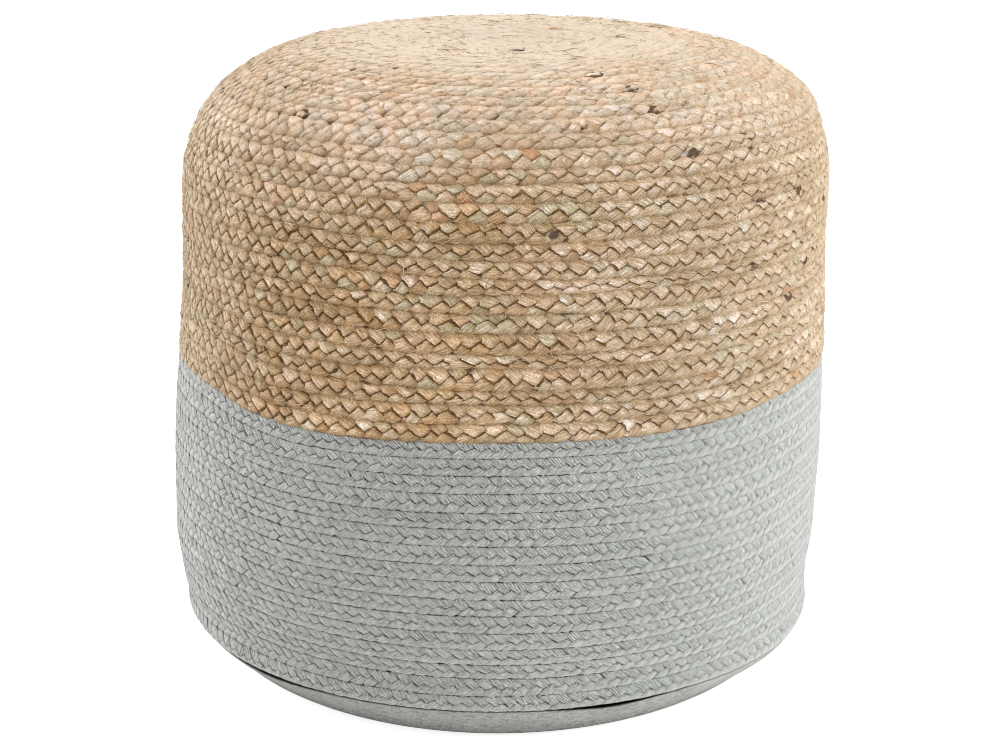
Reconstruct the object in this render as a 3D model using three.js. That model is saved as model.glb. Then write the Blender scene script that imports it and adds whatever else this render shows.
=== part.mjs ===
// A round floor pouf: a wound jute braid over a wound cotton braid, on a plain cloth base.
// Millimetres, +Z up. The origin is on the floor, under the middle of the box around the pouf.
import * as THREE from 'three';
import { mergeVertices } from 'three/addons/utils/BufferGeometryUtils.js';

// Clearance between two pieces that meet, and flat sides round each piece.
const GAP = 0.32;
const SIDES = 48;

// Wall sections: height, radius over the crests of the braid, and how far the centre leans to +X.
const WALL = [
  { height: 0, radius: 178.2, lean: 1.7 },
  { height: 4, radius: 192.7, lean: 1.5 },
  { height: 12, radius: 202, lean: 1.1 },
  { height: 21, radius: 212.6, lean: 0.6 },
  { height: 31, radius: 219, lean: 0.3 },
  { height: 56, radius: 220.5, lean: 0 },
  { height: 85, radius: 224.2, lean: 0.1 },
  { height: 125, radius: 224.4, lean: 0.6 },
  { height: 170, radius: 222.3, lean: 1.6 },
  { height: 206, radius: 220, lean: 3.0 },
  { height: 250, radius: 218.1, lean: 4.8 },
  { height: 290, radius: 216.3, lean: 6.1 },
];

// Shoulder: a rounded square quarter from the wall's last section in to the crest ring.
const SHOULDER = { crestHeight: 413, crestRadius: 94, outwardPower: 2.25, upwardPower: 3.32, lean: 3.7 };

// Hollow in the middle of the top, left by the wound centre.
const DISH_DEPTH = 8;

// Heights of the two places where one cloth ends and the next begins. Below the last height nothing sags.
const JOIN_HEIGHT = 206;
const SLIT_HEIGHT = 29.5;
const FIRM_HEIGHT = 10;

// The slit sags from the front to the sides by this much, and the hand-sewn join hangs or climbs by the drops
// below, at degrees round the pouf from the front.
const SLIT_SAG = 3;
const JOIN_SAG = [
  { at: -180, drop: 0 },
  { at: -90, drop: -3 },
  { at: -62, drop: -4.5 },
  { at: -36, drop: 3 },
  { at: 0, drop: 0.3 },
  { at: 32, drop: 2 },
  { at: 66, drop: -2.6 },
  { at: 180, drop: 0 },
];

// Braid rows: how many, and how deep the groove between two rows is.
const COTTON_ROWS = { count: 16, groove: 1.5 };
const JUTE_ROWS = { count: 35, groove: 2.4 };

// The base is tucked in under the last braid row: how far in, and how tall the round of its lip is.
const TUCK = { depth: 8, lip: 2.5 };

// Soft crease low on the wall, higher in front than at the sides.
const CREASE = { depth: 2.6, halfHeight: 11, height: 28, frontRise: 22, sideDrop: 6 };

// Slow swells of the filling, in turns round the pouf and in height.
const SWELLS = [
  { size: 1.1, turns: 3, height: 130, start: 0.6 },
  { size: 0.7, turns: 5, height: 75, start: 2.1 },
];

// Fuller places: how far out, at and over which degrees round the pouf, and how high up.
const BULGES = [
  { size: 3.2, at: 83, spread: 40, height: 380, halfHeight: 14 },
  { size: 4, at: 62, spread: 22, height: 22, halfHeight: 12 },
  { size: 4.5, at: 0, spread: 38, height: 5, halfHeight: 7 },
];

const COLOURS = { jute: 0xc9a77d, cotton: 0xb4b6b0, base: 0xa3a5a0 };

// Smooth value of one named column of the wall table at a height.
function wallValue(column, height) {
  const last = WALL.length - 1;
  let low = 0;
  while (low < last - 1 && height > WALL[low + 1].height) low += 1;
  const slope = (a, b) => (WALL[b][column] - WALL[a][column]) / (WALL[b].height - WALL[a].height);
  const tangent = (i) => {
    if (i === 0) return slope(0, 1);
    if (i === last) return slope(last - 1, last);
    const before = slope(i - 1, i);
    const after = slope(i, i + 1);
    return before * after > 0 ? (2 * before * after) / (before + after) : 0;
  };
  const step = WALL[low + 1].height - WALL[low].height;
  const t = Math.min(1, Math.max(0, (height - WALL[low].height) / step));
  const rise = t * t * (3 - 2 * t);
  return WALL[low][column] * (1 - rise) + WALL[low + 1][column] * rise
    + step * t * (1 - t) * (tangent(low) * (1 - t) - tangent(low + 1) * t);
}

// The outer profile as points of radius and height, from the floor over the crest to the middle of the top.
function outerProfile() {
  const wallTop = WALL[WALL.length - 1];
  const points = [];
  for (let height = 0; height < wallTop.height; height += 2) {
    points.push(new THREE.Vector2(wallValue('radius', height), height));
  }
  const turns = 40;
  for (let i = 0; i <= turns; i += 1) {
    const angle = (i / turns) * Math.PI / 2;
    const out = Math.cos(angle) ** (2 / SHOULDER.outwardPower);
    const up = Math.sin(angle) ** (2 / SHOULDER.upwardPower);
    points.push(new THREE.Vector2(
      SHOULDER.crestRadius + (wallTop.radius - SHOULDER.crestRadius) * out,
      wallTop.height + (SHOULDER.crestHeight - wallTop.height) * up,
    ));
  }
  const rings = 20;
  for (let i = 1; i <= rings; i += 1) {
    const radius = SHOULDER.crestRadius * (1 - i / rings);
    const sink = DISH_DEPTH * (1 + Math.cos(Math.PI * radius / SHOULDER.crestRadius)) / 2;
    points.push(new THREE.Vector2(radius, SHOULDER.crestHeight - sink));
  }
  return points;
}

const PROFILE = outerProfile();

// Distance along the profile to each of its points.
const REACH = PROFILE.reduce((sums, point, i) => {
  sums.push(i === 0 ? 0 : sums[i - 1] + point.distanceTo(PROFILE[i - 1]));
  return sums;
}, []);

// Distance along the profile at which the wall passes a height.
function reachOfHeight(height) {
  const i = PROFILE.findIndex((point) => point.y >= height);
  const share = (height - PROFILE[i - 1].y) / (PROFILE[i].y - PROFILE[i - 1].y);
  return REACH[i - 1] + share * (REACH[i] - REACH[i - 1]);
}

// A point at a distance along the profile, set in from the surface by a depth.
function pointAlong(reach, depth) {
  let i = REACH.findIndex((sum) => sum >= reach);
  if (i < 1) i = i < 0 ? REACH.length - 1 : 1;
  const share = Math.min(1, (reach - REACH[i - 1]) / (REACH[i] - REACH[i - 1]));
  const along = new THREE.Vector2().subVectors(PROFILE[i], PROFILE[i - 1]).normalize();
  const point = new THREE.Vector2().lerpVectors(PROFILE[i - 1], PROFILE[i], share);
  return point.add(new THREE.Vector2(-along.y, along.x).multiplyScalar(depth));
}

// Crests and grooves of braid rows of equal width between two distances along the profile.
function braidRows(from, to, rows) {
  const width = (to - from) / rows.count;
  const points = [];
  for (let row = 0; row < rows.count; row += 1) {
    if (row > 0) points.push(pointAlong(from + row * width, rows.groove));
    points.push(pointAlong(from + (row + 0.5) * width, 0));
  }
  return points;
}

// How far the join hangs, at an angle round the pouf from the front.
function joinSag(angle) {
  const degrees = THREE.MathUtils.radToDeg(angle);
  const next = Math.max(1, JOIN_SAG.findIndex((place) => place.at >= degrees));
  const [before, after] = [JOIN_SAG[next - 1], JOIN_SAG[next]];
  const share = (degrees - before.at) / (after.at - before.at);
  return THREE.MathUtils.lerp(before.drop, after.drop, (1 - Math.cos(Math.PI * share)) / 2);
}

// A share that is 1 at the middle of a band of heights and falls to 0 at its two ends.
function tent(height, low, middle, high) {
  const end = height < middle ? low : high;
  return Math.max(0, 1 - (height - middle) / (end - middle));
}

// How far the braids and the lip of the base hang below their heights, at an angle.
function sag(angle, height) {
  const wallTop = WALL[WALL.length - 1];
  return SLIT_SAG * Math.sin(angle) ** 2 * tent(height, FIRM_HEIGHT, SLIT_HEIGHT, JOIN_HEIGHT)
    + joinSag(angle) * tent(height, SLIT_HEIGHT, JOIN_HEIGHT, wallTop.height);
}

// How far the surface is pushed out, or in, at an angle round the pouf from the front and a height.
function swell(angle, height) {
  const front = Math.max(0, Math.cos(angle));
  const centre = CREASE.height + CREASE.frontRise * front * front - CREASE.sideDrop * Math.sin(angle);
  const crease = CREASE.depth * Math.exp(-(((height - centre) / CREASE.halfHeight) ** 2));
  const slow = SWELLS.reduce((sum, wave) => sum
    + wave.size * Math.sin(wave.turns * angle + wave.start) * Math.sin(Math.PI * height / wave.height), 0);
  const fade = Math.min(1, Math.max(0, (height - SLIT_HEIGHT) / CREASE.halfHeight));
  return fade * (slow - crease) + BULGES.reduce((sum, bulge) => {
    const away = Math.abs(THREE.MathUtils.radToDeg(angle) - bulge.at);
    const aside = Math.min(away, 360 - away) / bulge.spread;
    return sum + bulge.size * Math.exp(-(aside ** 2) - ((height - bulge.height) / bulge.halfHeight) ** 2);
  }, 0);
}

// How far the centre of the pouf leans to +X at a height.
function lean(height) {
  const wallTop = WALL[WALL.length - 1];
  if (height <= wallTop.height) return wallValue('lean', height);
  const share = (height - wallTop.height) / (SHOULDER.crestHeight - wallTop.height);
  return wallTop.lean + SHOULDER.lean * Math.sin(share * Math.PI / 2);
}

// Turns a profile of radius and height about +Z, then sags, swells and leans it like the filled pouf.
function turnedPiece(name, colour, roughness, profile) {
  const geometry = new THREE.LatheGeometry(profile, SIDES);
  geometry.rotateX(Math.PI / 2);
  geometry.deleteAttribute('normal');
  geometry.deleteAttribute('uv');
  const merged = mergeVertices(geometry, 1e-3);
  const position = merged.getAttribute('position');
  for (let i = 0; i < position.count; i += 1) {
    const x = position.getX(i);
    const y = position.getY(i);
    const z = position.getZ(i);
    const angle = Math.atan2(x, -y);
    const height = z - sag(angle, z);
    const push = wallValue('radius', height) - wallValue('radius', z) + swell(angle, height);
    const scale = 1 + push / Math.max(Math.hypot(x, y), SHOULDER.crestRadius);
    position.setXYZ(i, x * scale + lean(height), y * scale, height);
  }
  merged.computeVertexNormals();
  const material = new THREE.MeshStandardMaterial({ color: colour, roughness, metalness: 0 });
  const mesh = new THREE.Mesh(merged, material);
  mesh.name = name;
  return mesh;
}

// The base cloth: flat on the floor, drawn up round the edge, with a lip rolled in under the braid.
function basePanel() {
  const edge = pointAlong(reachOfHeight(SLIT_HEIGHT - TUCK.lip), 0);
  const profile = [
    new THREE.Vector2(0, 0),
    ...WALL.filter((section) => section.height < SLIT_HEIGHT - TUCK.lip)
      .map((section) => new THREE.Vector2(section.radius, section.height)),
    edge,
    new THREE.Vector2(edge.x - TUCK.lip * 0.6, SLIT_HEIGHT - TUCK.lip * 0.3),
    new THREE.Vector2(edge.x - TUCK.depth, SLIT_HEIGHT),
    new THREE.Vector2(0, SLIT_HEIGHT),
  ];
  return turnedPiece('base_panel', COLOURS.base, 0.95, profile);
}

// The cotton braid, from the slit above the base up to the join.
function cottonBand() {
  const bottom = SLIT_HEIGHT + GAP;
  const from = reachOfHeight(bottom);
  const to = reachOfHeight(JOIN_HEIGHT);
  const edge = pointAlong(from, 0);
  const profile = [
    new THREE.Vector2(0, bottom),
    new THREE.Vector2(edge.x - TUCK.depth, bottom),
    new THREE.Vector2(edge.x - COTTON_ROWS.groove, bottom + TUCK.lip * 0.5),
    ...braidRows(from, to, COTTON_ROWS),
    new THREE.Vector2(wallValue('radius', JOIN_HEIGHT) - COTTON_ROWS.groove, JOIN_HEIGHT),
    new THREE.Vector2(0, JOIN_HEIGHT),
  ];
  return turnedPiece('cotton_band', COLOURS.cotton, 0.9, profile);
}

// The jute braid, from the join up the wall, over the shoulder and in to the middle of the top.
function juteCover() {
  const bottom = JOIN_HEIGHT + GAP;
  const from = reachOfHeight(bottom);
  const to = REACH[REACH.length - 1];
  const profile = [
    new THREE.Vector2(0, bottom),
    new THREE.Vector2(wallValue('radius', bottom) - JUTE_ROWS.groove, bottom),
    ...braidRows(from, to, JUTE_ROWS),
    new THREE.Vector2(0, SHOULDER.crestHeight - DISH_DEPTH),
  ];
  return turnedPiece('jute_cover', COLOURS.jute, 0.95, profile);
}

const pouf = new THREE.Group();
pouf.add(basePanel(), cottonBand(), juteCover());

export default pouf;
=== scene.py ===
"""Looks of the pouf: a wound jute braid over a wound cotton braid, on a felted cloth base."""

import math
from functools import partial

import bmesh
import bpy
import numpy as np
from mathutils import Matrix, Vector


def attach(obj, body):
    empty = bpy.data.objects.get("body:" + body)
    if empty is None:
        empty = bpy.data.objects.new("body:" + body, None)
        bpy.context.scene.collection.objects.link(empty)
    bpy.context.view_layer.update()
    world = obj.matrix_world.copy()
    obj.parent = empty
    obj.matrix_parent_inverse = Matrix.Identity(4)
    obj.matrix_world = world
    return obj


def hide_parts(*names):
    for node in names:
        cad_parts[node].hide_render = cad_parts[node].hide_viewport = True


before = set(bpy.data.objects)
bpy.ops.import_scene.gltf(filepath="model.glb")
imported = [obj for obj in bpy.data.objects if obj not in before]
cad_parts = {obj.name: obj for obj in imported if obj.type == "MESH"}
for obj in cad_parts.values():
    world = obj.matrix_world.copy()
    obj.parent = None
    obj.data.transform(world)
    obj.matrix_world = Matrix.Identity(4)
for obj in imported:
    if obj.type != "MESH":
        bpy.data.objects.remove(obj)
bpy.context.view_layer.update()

# Lengths are millimetres until a mesh is made, and angles round the pouf start at the front.
MM = 0.001
TURN = 2 * math.pi
SEED = 7

# The filled shape, with the same numbers as the solids: height, radius over the crests, lean to +X.
WALL = np.array([
    (0, 178.2, 1.7), (4, 192.7, 1.5), (12, 202, 1.1), (21, 212.6, 0.6), (31, 219, 0.3), (56, 220.5, 0),
    (85, 224.2, 0.1), (125, 224.4, 0.6), (170, 222.3, 1.6), (206, 220, 3), (250, 218.1, 4.8), (290, 216.3, 6.1),
])
HEIGHT, RADIUS, LEAN = 0, 1, 2
CREST_HEIGHT = 413
CREST_RADIUS = 94
OUTWARD_POWER = 2.25
UPWARD_POWER = 3.32
SHOULDER_LEAN = 3.7
DISH_DEPTH = 8
JOIN_HEIGHT = 206
SLIT_HEIGHT = 29.5
FIRM_HEIGHT = 10
SLIT_SAG = 3

# Degrees round the pouf, and how far the join hangs there.
JOIN_SAG = np.array([(-180, 0), (-90, -3), (-62, -4.5), (-36, 3), (0, 0.3), (32, 2), (66, -2.6), (180, 0)])
CREASE = dict(depth=2.6, half_height=11, height=28, front_rise=22, side_drop=6)
SWELLS = (dict(size=1.1, turns=3, height=130, start=0.6), dict(size=0.7, turns=5, height=75, start=2.1))
BULGES = (
    dict(size=3.2, at=math.radians(83), spread=math.radians(40), height=380, half_height=14),
    dict(size=4, at=math.radians(62), spread=math.radians(22), height=22, half_height=12),
    dict(size=4.5, at=0, spread=math.radians(38), height=5, half_height=7),
)

# How the braids are plaited. A strand comes over the row's edge, slants to the middle, crosses it and dives under one
# of the other half.
#   pitch: the distance between strands along a row.
#   crown, crown_power, edge_crown: how far a row's edges lie below its middle, how flat its back is, and the share of
#     the crown on the first row's lower edge.
#   wander: how far the line between two rows strays.
#   rings, lift, roll, relief: shares of a strand's way, 1 where its cover begins, and its height, lean and depth there.
#   section: a strand's cut, as places across it and heights.
#   upper, lower: a half's slant, how far its strands start past the row's edge, and their bend there.
#   bow: how much wider a strand is half way, and how much narrower at its tip.
#   twist, unruly: the fibres' turn from the strand's line, and its spread.
#   middle: how far above the middle of the row the two halves meet.
#   bob, ragged, scruff: random heights of a strand, of its long lines, and of its points where it is worn.
#   rubbed: the share of the relief that is gone on the left.
#   slip, unlike, spread: random parts of a strand's place, slant and far edge.
#   tuck: how far the last row goes in under the braid above it.
#   ground: depths of the cloth under the strands, from the row's lower edge up.
JUTE = dict(
    rows=35, pitch=11.4, crown=1.3, crown_power=3.2, edge_crown=0.35, wander=0.8,
    rings=(0, 0.2, 0.4, 0.6, 0.8, 0.93, 1, 1.3),
    lift=(-0.1, 0.15, 0.4, 0.6, 0.7, 0.6, 0.1, -1.3),
    roll=(0.13, 0.14, 0.12, 0.06, 0, -0.03, -0.05, -0.08),
    relief=(0.4, 0.7, 0.9, 1, 1, 1, 1, 1),
    section=((-1, -1.5), (-0.86, -0.1), (-0.4, 0.4), (0.2, 0.6), (0.75, 0.3), (1, -1.2)),
    upper=dict(angle=35, past_edge=1.6, curl=-1),
    lower=dict(angle=35, past_edge=1.6, curl=-1),
    bow=(0.18, 0.08), twist=-8, unruly=9, middle=0,
    bob=0.14, ragged=0.16, scruff=0.11, rubbed=0.35, slip=0.95, unlike=0.12, spread=0.12,
    tuck=0, ground=(2.6, 2.4, 2.3, 2.4),
)
COTTON = dict(
    rows=16, pitch=8.7, crown=0.42, crown_power=5, edge_crown=0.7, wander=0.3,
    rings=(0, 0.35, 0.7, 0.92, 1, 1.4),
    lift=(0.1, 0.15, 0.3, 0.25, 0, -1),
    roll=(0.05, 0.07, 0.03, 0, -0.03, -0.05),
    relief=(0.1, 0.45, 0.95, 1, 1, 1),
    section=((-1, -0.8), (-0.86, 0), (-0.2, 0.14), (0.7, 0.08), (1, -0.7)),
    upper=dict(angle=39, past_edge=0.9, curl=-0.4),
    lower=dict(angle=36, past_edge=0.9, curl=-0.4),
    bow=(0.06, 0.25), twist=9, unruly=3, middle=-0.2,
    bob=0.05, ragged=0.05, scruff=0, rubbed=0, slip=0.35, unlike=0.05, spread=0.05,
    tuck=0.9, ground=(2.4, 2.2, 2, 2.2),
)
STEPS_ROUND = 144
ROWS_A_PIECE = 4

# How many steps before its first whole row the winding begins, in a wedge.
RUN_IN = 180

# Dark flecks of bark and rust-coloured strands: degrees round the pouf, and distance up from the join. Those past 90
# degrees are guessed.
BARK_SPOTS = (
    (46, 171), (45, 159), (58, 130), (46, 129), (70, 110), (44, 92), (7, 127), (63, 80), (-42, 186), (-174, 299),
    (119, 268), (100, 307), (19, 242), (28, 202), (32, 168), (26, 221), (55, 59), (135, 90), (160, 200), (-150, 120),
    (-110, 60), (178, 30), (-125, 230),
)
RUST_SPOTS = ((4, 174), (59, 5), (35, 31), (-7, 148), (54, 71), (150, 140), (-160, 60), (-115, 180))

# Loose jute fibres: how many, rings of points in each, lengths, radii, heights, how deep their ends go, places along
# the winding and across the row, and slant, its spread and bend.
FIBRES = dict(
    count=3000, rings=4, length=(4, 14), thickness=(0.09, 0.2), stand=(0.5, 1.0), sunk=0.4,
    along=(0.01, 0.99), across=(0.5, 0.22), slant=0.45, stray=0.6, bend=0.12,
)

# Width of one cord in a cotton strand.
CORD = 1.5


def wall_value(column, height):
    """A column of the wall table at any height, on a smooth curve."""
    heights, values = WALL[:, HEIGHT], WALL[:, column]
    slopes = np.diff(values) / np.diff(heights)
    before, after = slopes[:-1], slopes[1:]
    alike = before * after > 0
    inner = np.where(alike, 2 * before * after / np.where(alike, before + after, 1), 0)
    tangents = np.concatenate([slopes[:1], inner, slopes[-1:]])
    low = np.clip(np.searchsorted(heights, height) - 1, 0, len(heights) - 2)
    step = heights[low + 1] - heights[low]
    t = np.clip((height - heights[low]) / step, 0, 1)
    rise = t * t * (3 - 2 * t)
    bow = step * t * (1 - t) * (tangents[low] * (1 - t) - tangents[low + 1] * t)
    return values[low] * (1 - rise) + values[low + 1] * rise + bow


SHOULDER_STEPS = 240
DISH_STEPS = 96


def outer_profile():
    """Radius and height from the floor to the middle of the top, in about 1 mm steps."""
    top = WALL[-1]
    heights = np.arange(0, top[HEIGHT])
    wall = np.stack([wall_value(RADIUS, heights), heights], 1)
    angle = np.linspace(0, math.pi / 2, SHOULDER_STEPS)
    out = np.cos(angle).clip(0) ** (2 / OUTWARD_POWER)
    up = np.sin(angle) ** (2 / UPWARD_POWER)
    shoulder = np.stack([
        CREST_RADIUS + (top[RADIUS] - CREST_RADIUS) * out,
        top[HEIGHT] + (CREST_HEIGHT - top[HEIGHT]) * up,
    ], 1)
    radius = CREST_RADIUS * (1 - np.linspace(0, 1, DISH_STEPS)[1:])
    sink = DISH_DEPTH * (1 + np.cos(math.pi * radius / CREST_RADIUS)) / 2
    dish = np.stack([radius, CREST_HEIGHT - sink], 1)
    return np.concatenate([wall, shoulder, dish])


PROFILE = outer_profile()

# "Reach" is the distance along the profile, from the floor.
REACH = np.concatenate([[0], np.cumsum(np.hypot(*np.diff(PROFILE, axis=0).T))])
EDGE_BLUR = 3


def profile_normals():
    """The outward direction along the profile, a little blurred."""
    def point(reach):
        return np.stack([np.interp(reach, REACH, PROFILE[:, k]) for k in (0, 1)], 1)
    along = point(REACH + EDGE_BLUR) - point(REACH - EDGE_BLUR)
    along /= np.hypot(along[:, 0], along[:, 1])[:, None]
    return np.stack([along[:, 1], -along[:, 0]], 1)


NORMALS = profile_normals()


def wall_reach(height):
    """Distance along the profile up to a height on the wall."""
    steps = int(WALL[-1, HEIGHT])
    return np.interp(height, PROFILE[:steps, 1], REACH[:steps])


SLIT_REACH = wall_reach(SLIT_HEIGHT)
JOIN_REACH = wall_reach(JOIN_HEIGHT)
TOP_REACH = REACH[-1]

# How far a braid reaches down over the cloth below it, and up under the braid above.
OVERLAP = 0.7


def apart(angle, other):
    """How far one angle is past another, at most half a turn."""
    return (angle - other + math.pi) % TURN - math.pi


def sag(angle, height):
    """How far the braids and the lip of the base hang below their heights."""
    degrees = np.degrees(apart(angle, 0))
    at, drop = JOIN_SAG.T
    i = np.searchsorted(at, degrees).clip(1, len(at) - 1)
    rise = (1 - np.cos(math.pi * (degrees - at[i - 1]) / (at[i] - at[i - 1]))) / 2
    join = drop[i - 1] + (drop[i] - drop[i - 1]) * rise
    slit_share = np.interp(height, (FIRM_HEIGHT, SLIT_HEIGHT, JOIN_HEIGHT), (0, 1, 0))
    join_share = np.interp(height, (SLIT_HEIGHT, JOIN_HEIGHT, WALL[-1, HEIGHT]), (0, 1, 0))
    return SLIT_SAG * np.sin(angle) ** 2 * slit_share + join * join_share


def swell(angle, height):
    """How far the filling pushes the cloth out, or the crease draws it in."""
    front = np.cos(angle).clip(0)
    centre = CREASE["height"] + CREASE["front_rise"] * front ** 2 - CREASE["side_drop"] * np.sin(angle)
    crease = CREASE["depth"] * np.exp(-(((height - centre) / CREASE["half_height"]) ** 2))
    slow = sum(
        w["size"] * np.sin(w["turns"] * angle + w["start"]) * np.sin(math.pi * height / w["height"])
        for w in SWELLS
    )
    fade = np.clip((height - SLIT_HEIGHT) / CREASE["half_height"], 0, 1)
    bulged = 0
    for bulge in BULGES:
        aside = apart(angle, bulge["at"]) / bulge["spread"]
        above = (height - bulge["height"]) / bulge["half_height"]
        bulged = bulged + bulge["size"] * np.exp(-(aside ** 2) - above ** 2)
    return fade * (slow - crease) + bulged


def lean(height):
    """How far the middle of the pouf stands to +X at a height."""
    top = WALL[-1]
    share = (height - top[HEIGHT]) / (CREST_HEIGHT - top[HEIGHT])
    above = top[LEAN] + SHOULDER_LEAN * np.sin(math.pi / 2 * share)
    return np.where(height <= top[HEIGHT], wall_value(LEAN, np.minimum(height, top[HEIGHT])), above)


def turned(angle, radius, height):
    """Points at an angle, a radius and a height, sagged, swelled and leaned like the filled pouf."""
    low = height - sag(angle, height)
    push = wall_value(RADIUS, low) - wall_value(RADIUS, height) + swell(angle, low)
    scale = 1 + push / np.maximum(radius, CREST_RADIUS)
    x = radius * np.sin(angle) * scale + lean(low)
    y = -radius * np.cos(angle) * scale
    return np.stack([x, y, low + 0 * x], -1)


def on_surface(angle, reach, out):
    """Points at an angle, at a distance along the profile, and out from the cloth."""
    radius, height = (np.interp(reach, REACH, PROFILE[:, k]) for k in (0, 1))
    across, up = (np.interp(reach, REACH, NORMALS[:, k]) for k in (0, 1))
    return turned(angle, radius + across * out, height + up * out)


def drift(rng, waves, count=9):
    """A smooth random function of an endless angle, about -1 to 1."""
    freq = waves * (0.35 + 1.3 * rng.random(count))
    phase = TURN * rng.random(count)
    size = 1.4 / math.sqrt(count)
    return lambda angle: size * sum(np.sin(f * angle + p) for f, p in zip(freq, phase))


# The rows run level as far as this angle on both sides of the front.
LEVEL_ANGLE = 1.9


def climb(angle):
    """Rows climbed at an endless angle: level in front, one row up round the back."""
    whole = np.round(angle / TURN)
    rest = angle - whole * TURN
    past = ((np.abs(rest) - LEVEL_ANGLE) / (math.pi - LEVEL_ANGLE)).clip(0, 1)
    return whole + np.sign(rest) * 0.5 * past * past * (3 - 2 * past)


# How often the line between two rows strays in a turn, and the rows at both ends over which that fades.
WANDER_WAVES = 2.3
PINNED_ROWS = 2


class Braid:
    """A braid wound on the pouf from one distance along the profile to another."""

    def __init__(self, style, start, stop, rng):
        self.style = style
        self.start, self.stop = start, stop
        self.row = (stop - start) / style["rows"]
        self.wobble = drift(rng, WANDER_WAVES)
        steps = np.arange(-RUN_IN, (style["rows"] + 1) * STEPS_ROUND + 1)
        self.angle = steps * TURN / STEPS_ROUND + math.pi
        self.low = self.edge(self.angle)
        self.high = self.edge(self.angle + TURN)
        middle = (self.low + self.high) / 2
        radius = np.interp(middle, REACH, PROFILE[:, 0])
        lengths = np.hypot(np.diff(self.angle) * (radius[1:] + radius[:-1]) / 2, np.diff(middle))
        self.length = np.concatenate([[0], np.cumsum(lengths)])

    def edge(self, angle):
        """Distance along the profile of the row's lower edge at an endless angle."""
        level = self.start + (self.stop - self.start) * climb(angle) / self.style["rows"]
        wander = self.style["wander"] * self.wobble(angle)
        fade = PINNED_ROWS * self.row
        pin = ((level + wander - self.start) / fade).clip(0, 1) * ((self.stop - level - wander) / fade).clip(0, 1)
        return (level + wander * pin).clip(self.start, self.stop)


# How far a braid's ends stand past its edge lines, and the length over which the lower one is tucked in.
HEM = 0.3
TUCK_LENGTH = 2.5

# Where along the profile strands get flatter toward the sat-on top, and their relief there. On the firm side that comes
# further up, and the left gets flatter between two shares of the way from front to side.
WORN_REACH = (TOP_REACH - 215, TOP_REACH - 120, TOP_REACH - 60)
WORN_RELIEF = (1, 0.34, 0.2)
FIRM_FURTHER = 30
FIRM_AT = math.radians(34)
RUBBED_SIDE = (0.45, 0.9)

# Lengths over which a strand's colour and tone drift, and their random parts.
HUE_DRIFT, HUE_CHANCE = 260, 0.4
TONE_DRIFT, TONE_CHANCE = 190, 0.25
DRIFT_SHARE = 0.33

# A high power leaves few strands with an odd colour.
ODD_POWER = 40

# How far the strands' own height 0 lies under the filled form, and the steepest slope of a row's back.
SET_IN = 1
STEEPEST = 1.2

# The least share of a row's width that has strands, and the share of a turn by which one may miss its row's start.
LEAST_ROOM = 0.05
ROW_START = 1e-6

# How far into the noise's pattern a strand may start.
PATTERN = 900

# The share of a strand's way over which its cut turns toward the line of its cover.
SLANT = 0.6

# Where across a strand its edge seems to be, as a share of half its width.
SEEN_EDGE = 0.9


def bow(style, along):
    """The share by which a strand is wider at a distance along it."""
    share = along / style["row"]
    belly, tip = style["bow"]
    return belly * np.maximum(1 - ((share + 0.45) / 0.55) ** 2, -0.5) - tip * np.exp(-((share / 0.2) ** 2))


def leaf(style, side, width, angle, ahead, cover_width, cover_angle, spread):
    """The visible stretches of one half's strands as rings of points.

    Returns places along the row, across it and out, lengths along and across the strand, and the distance to its cover.
    """
    own = style["upper" if side > 0 else "lower"]
    outer = style["row"] / 2 - side * style["middle"] + own["past_edge"]
    first = -outer / np.sin(angle)
    last = (ahead * np.sin(cover_angle) - cover_width) / np.sin(angle + cover_angle)
    t = np.array(style["rings"], float)[:, None]
    across, proud = np.array(style["section"], float).T
    way = first + (last - first) * t
    bend = (t / SLANT).clip(0, 1)
    slide = (1 - bend) / np.tan(angle) + bend / np.tan(angle + cover_angle)
    off = width / SEEN_EDGE * across * (1 + spread * (across > 0.5)) * (1 + bow(style, way)) + 0 * t
    along = way + slide * off
    xs = along * np.cos(angle) + off * np.sin(angle) + own["curl"] * (1 - t).clip(0) ** 2
    ys = off * np.cos(angle) - along * np.sin(angle)
    lift, roll, relief = (np.array(style[name], float)[:, None] for name in ("lift", "roll", "relief"))
    zs = lift + roll * off + relief * proud
    along_cover = (xs - ahead) * np.cos(cover_angle) + ys * np.sin(cover_angle)
    cover_edge = cover_width * (1 + bow(style, along_cover))
    to_cover = ys * np.cos(cover_angle) - (xs - ahead) * np.sin(cover_angle) - cover_edge
    return xs, ys, zs, along, off, to_cover


# A strand's square on the map: its edge and size in its cell, its quads' last columns and row, and its two caps.
CELL_EDGE, CELL_SIZE = 0.02, 0.96
LAST_COLUMNS, LAST_ROW = (0.84, 0.91), 0.94
CAP_SIZE = (0.022, 0.2)
CAP_PLACES = ((0.945, 0.22), (0.945, 0.7))


def strand_shape(rings, points):
    """A strand's quads, then its caps: their corners counted along its rings, and those corners on the map."""
    columns = np.append(np.linspace(0, LAST_COLUMNS[0], points), LAST_COLUMNS[1])
    rows = np.linspace(0, LAST_ROW, rings)
    quads, squares = [], []
    for i in range(rings - 1):
        for j in range(points):
            k = (j + 1) % points
            u0, u1, v0, v1 = columns[j], columns[j + 1], rows[i], rows[i + 1]
            quads.append((i * points + j, (i + 1) * points + j, (i + 1) * points + k, i * points + k))
            squares.append(((u0, v0), (u0, v1), (u1, v1), (u1, v0)))
    last = (rings - 1) * points
    caps = [tuple(range(points)), tuple(last + j for j in reversed(range(points)))]
    ring = np.arange(points) * TURN / points
    disc = np.stack([CAP_SIZE[0] * np.cos(ring), CAP_SIZE[1] * np.sin(ring)], 1)
    discs = [disc + CAP_PLACES[0], disc[::-1] + CAP_PLACES[1]]
    return [(np.array(quads), np.array(squares)), (np.array(caps), np.array(discs))]


def in_scene(name, data):
    """A new object in the scene."""
    made = bpy.data.objects.new(name, data)
    bpy.context.scene.collection.objects.link(made)
    return made


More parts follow.
